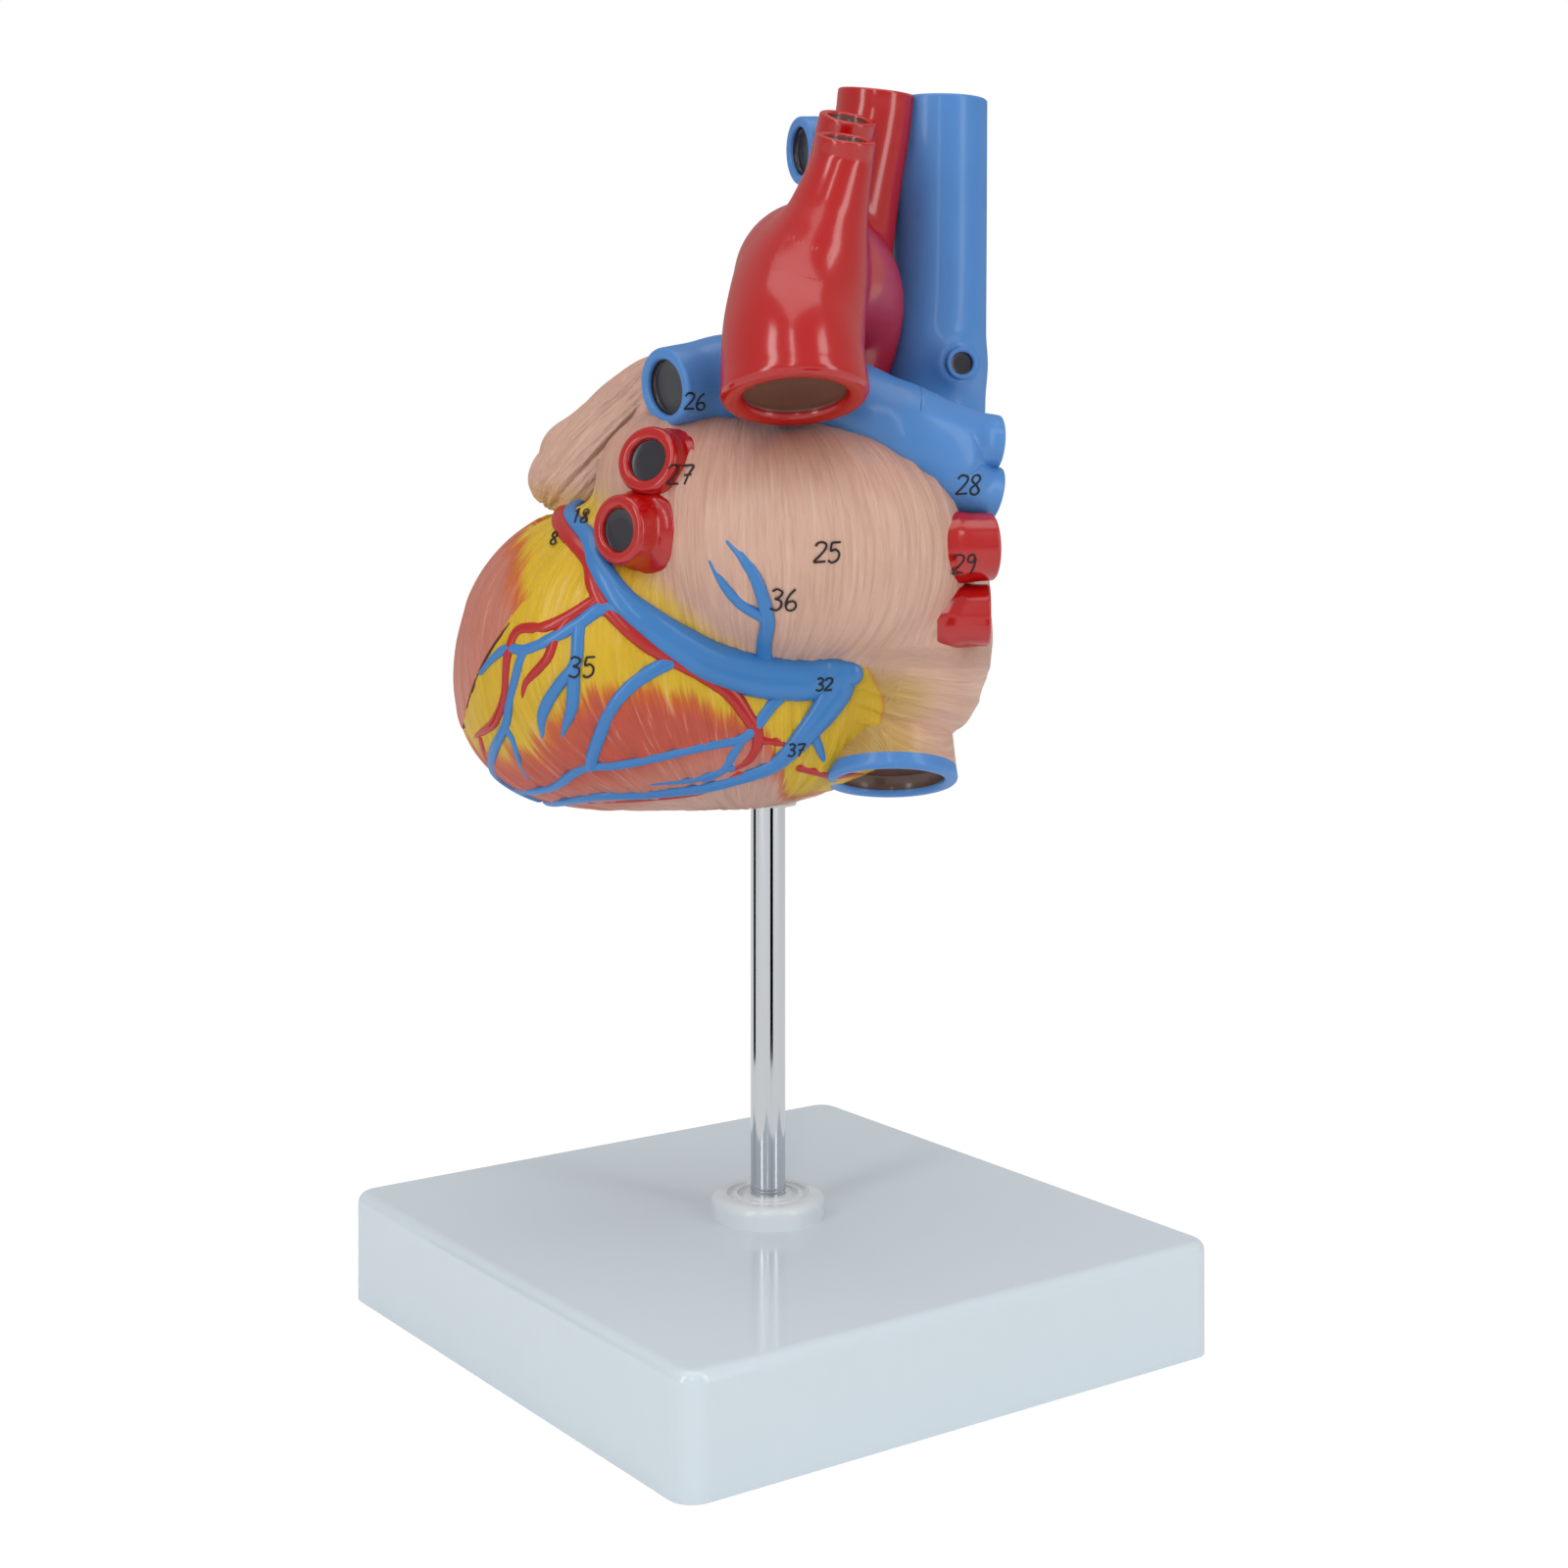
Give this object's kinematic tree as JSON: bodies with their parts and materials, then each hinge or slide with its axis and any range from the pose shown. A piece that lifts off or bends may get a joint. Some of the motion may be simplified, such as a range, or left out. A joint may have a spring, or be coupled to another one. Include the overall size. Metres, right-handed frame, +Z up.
{
  "type": "human heart anatomy model",
  "caption": "Life-size two-part human heart teaching model with great vessels, coronary vessels and a magnetic front wall, on a chromed rod and a square white base.",
  "frame": {"origin": "centre of the square base's underside, where the stand rests on the bench", "axes": "+Z up along the support rod, -Y towards the heart's front (anterior) wall, +X towards the heart's left side, where the apex points"},
  "size_m": [0.14, 0.1456, 0.2842],
  "materials": {
    "base": "smooth gloss white moulding",
    "collar": "smooth gloss white moulding",
    "rod": "bright chrome plate",
    "steel": "zinc plated",
    "bush": "plain turned tube",
    "magnet": "nickel plated",
    "muscle": "hand painted vinyl casting with a soft gloss",
    "red_vessel": "glossy red paint",
    "blue_vessel": "glossy blue paint",
    "surface_vein": "glossy blue paint",
    "surface_artery": "glossy red paint",
    "valve": "satin cream",
    "papillary": "painted vinyl"
  },
  "bodies": {
    "stand": {"base_tray": "base", "rod_collar": "collar", "rod_washer": "steel"},
    "rod": {"support_rod": "rod", "rod_nut": "steel"},
    "heart": {"heart_back": "muscle", "rod_bush": "bush", "aorta": "red_vessel", "superior_vena_cava": "blue_vessel", "pulmonary_arteries": "blue_vessel", "pulmonary_vein_left_upper": "red_vessel", "pulmonary_vein_left_lower": "red_vessel", "pulmonary_vein_right_upper": "red_vessel", "pulmonary_vein_right_lower": "red_vessel", "inferior_vena_cava": "blue_vessel", "cardiac_veins_back": "surface_vein", "coronary_arteries_back": "surface_artery", "mitral_valve": "valve", "tricuspid_valve": "valve", "aortic_valve": "valve", "pulmonary_valve": "valve", "papillary_muscles_left": "papillary", "papillary_muscles_right": "papillary", "chordae_left": "valve", "chordae_right": "valve", "magnet_back_1": "magnet", "magnet_back_2": "magnet", "magnet_back_3": "magnet", "magnet_back_4": "magnet"},
    "front": {"front_wall": "muscle", "left_auricle": "muscle", "right_auricle": "muscle", "coronary_arteries_front": "surface_artery", "cardiac_veins_front": "surface_vein", "magnet_front_1": "magnet", "magnet_front_2": "magnet", "magnet_front_3": "magnet", "magnet_front_4": "magnet"}
  },
  "joints": [
    {"name": "heart_turn", "type": "hinge", "parent": "stand", "child": "rod", "pos_m": [0, 0, 0], "axis": [0, 0, 1], "continuous": true},
    {"name": "heart_lift", "type": "slide", "parent": "rod", "child": "heart", "axis": [0, 0, 1], "range_m": [0, 0.045]},
    {"name": "front_wall_lift", "type": "slide", "parent": "heart", "child": "front", "axis": [-0.3306, -0.835, 0.4399], "range_m": [0, 0.07]}
  ]
}
